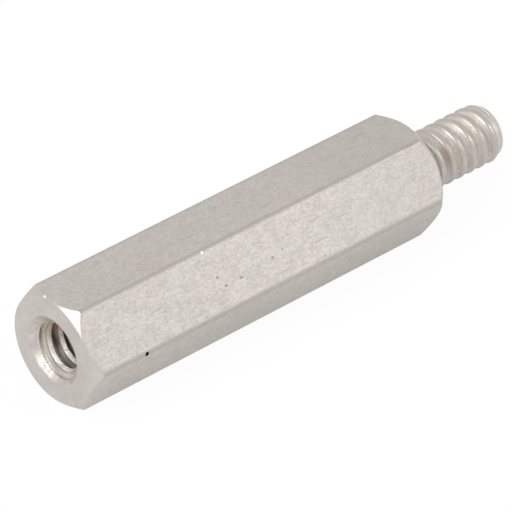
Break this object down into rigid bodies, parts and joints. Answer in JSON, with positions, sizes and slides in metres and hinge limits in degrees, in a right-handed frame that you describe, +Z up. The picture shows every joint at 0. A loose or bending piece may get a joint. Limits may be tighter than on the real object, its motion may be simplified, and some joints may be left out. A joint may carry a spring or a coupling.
{
  "type": "hex standoff",
  "caption": "Male-female hex standoff in satin aluminium: a long hex body with chamfered ends, a blind tapped hole in one end and a threaded stud on the other.",
  "frame": {"origin": "on the hex flat that it rests on, under the middle of its overall length", "axes": "+X along the bar's axis, from the tapped face towards the stud's end; +Z up, square to the flat that it rests on"},
  "size_m": [0.0316, 0.0072, 0.0063],
  "materials": {
    "satin_aluminium": "satin: bright machined ends and threads, softly tumbled flats with fine specks and grain along the bar"
  },
  "bodies": {
    "root": {"standoff": "satin_aluminium"}
  },
  "joints": []
}
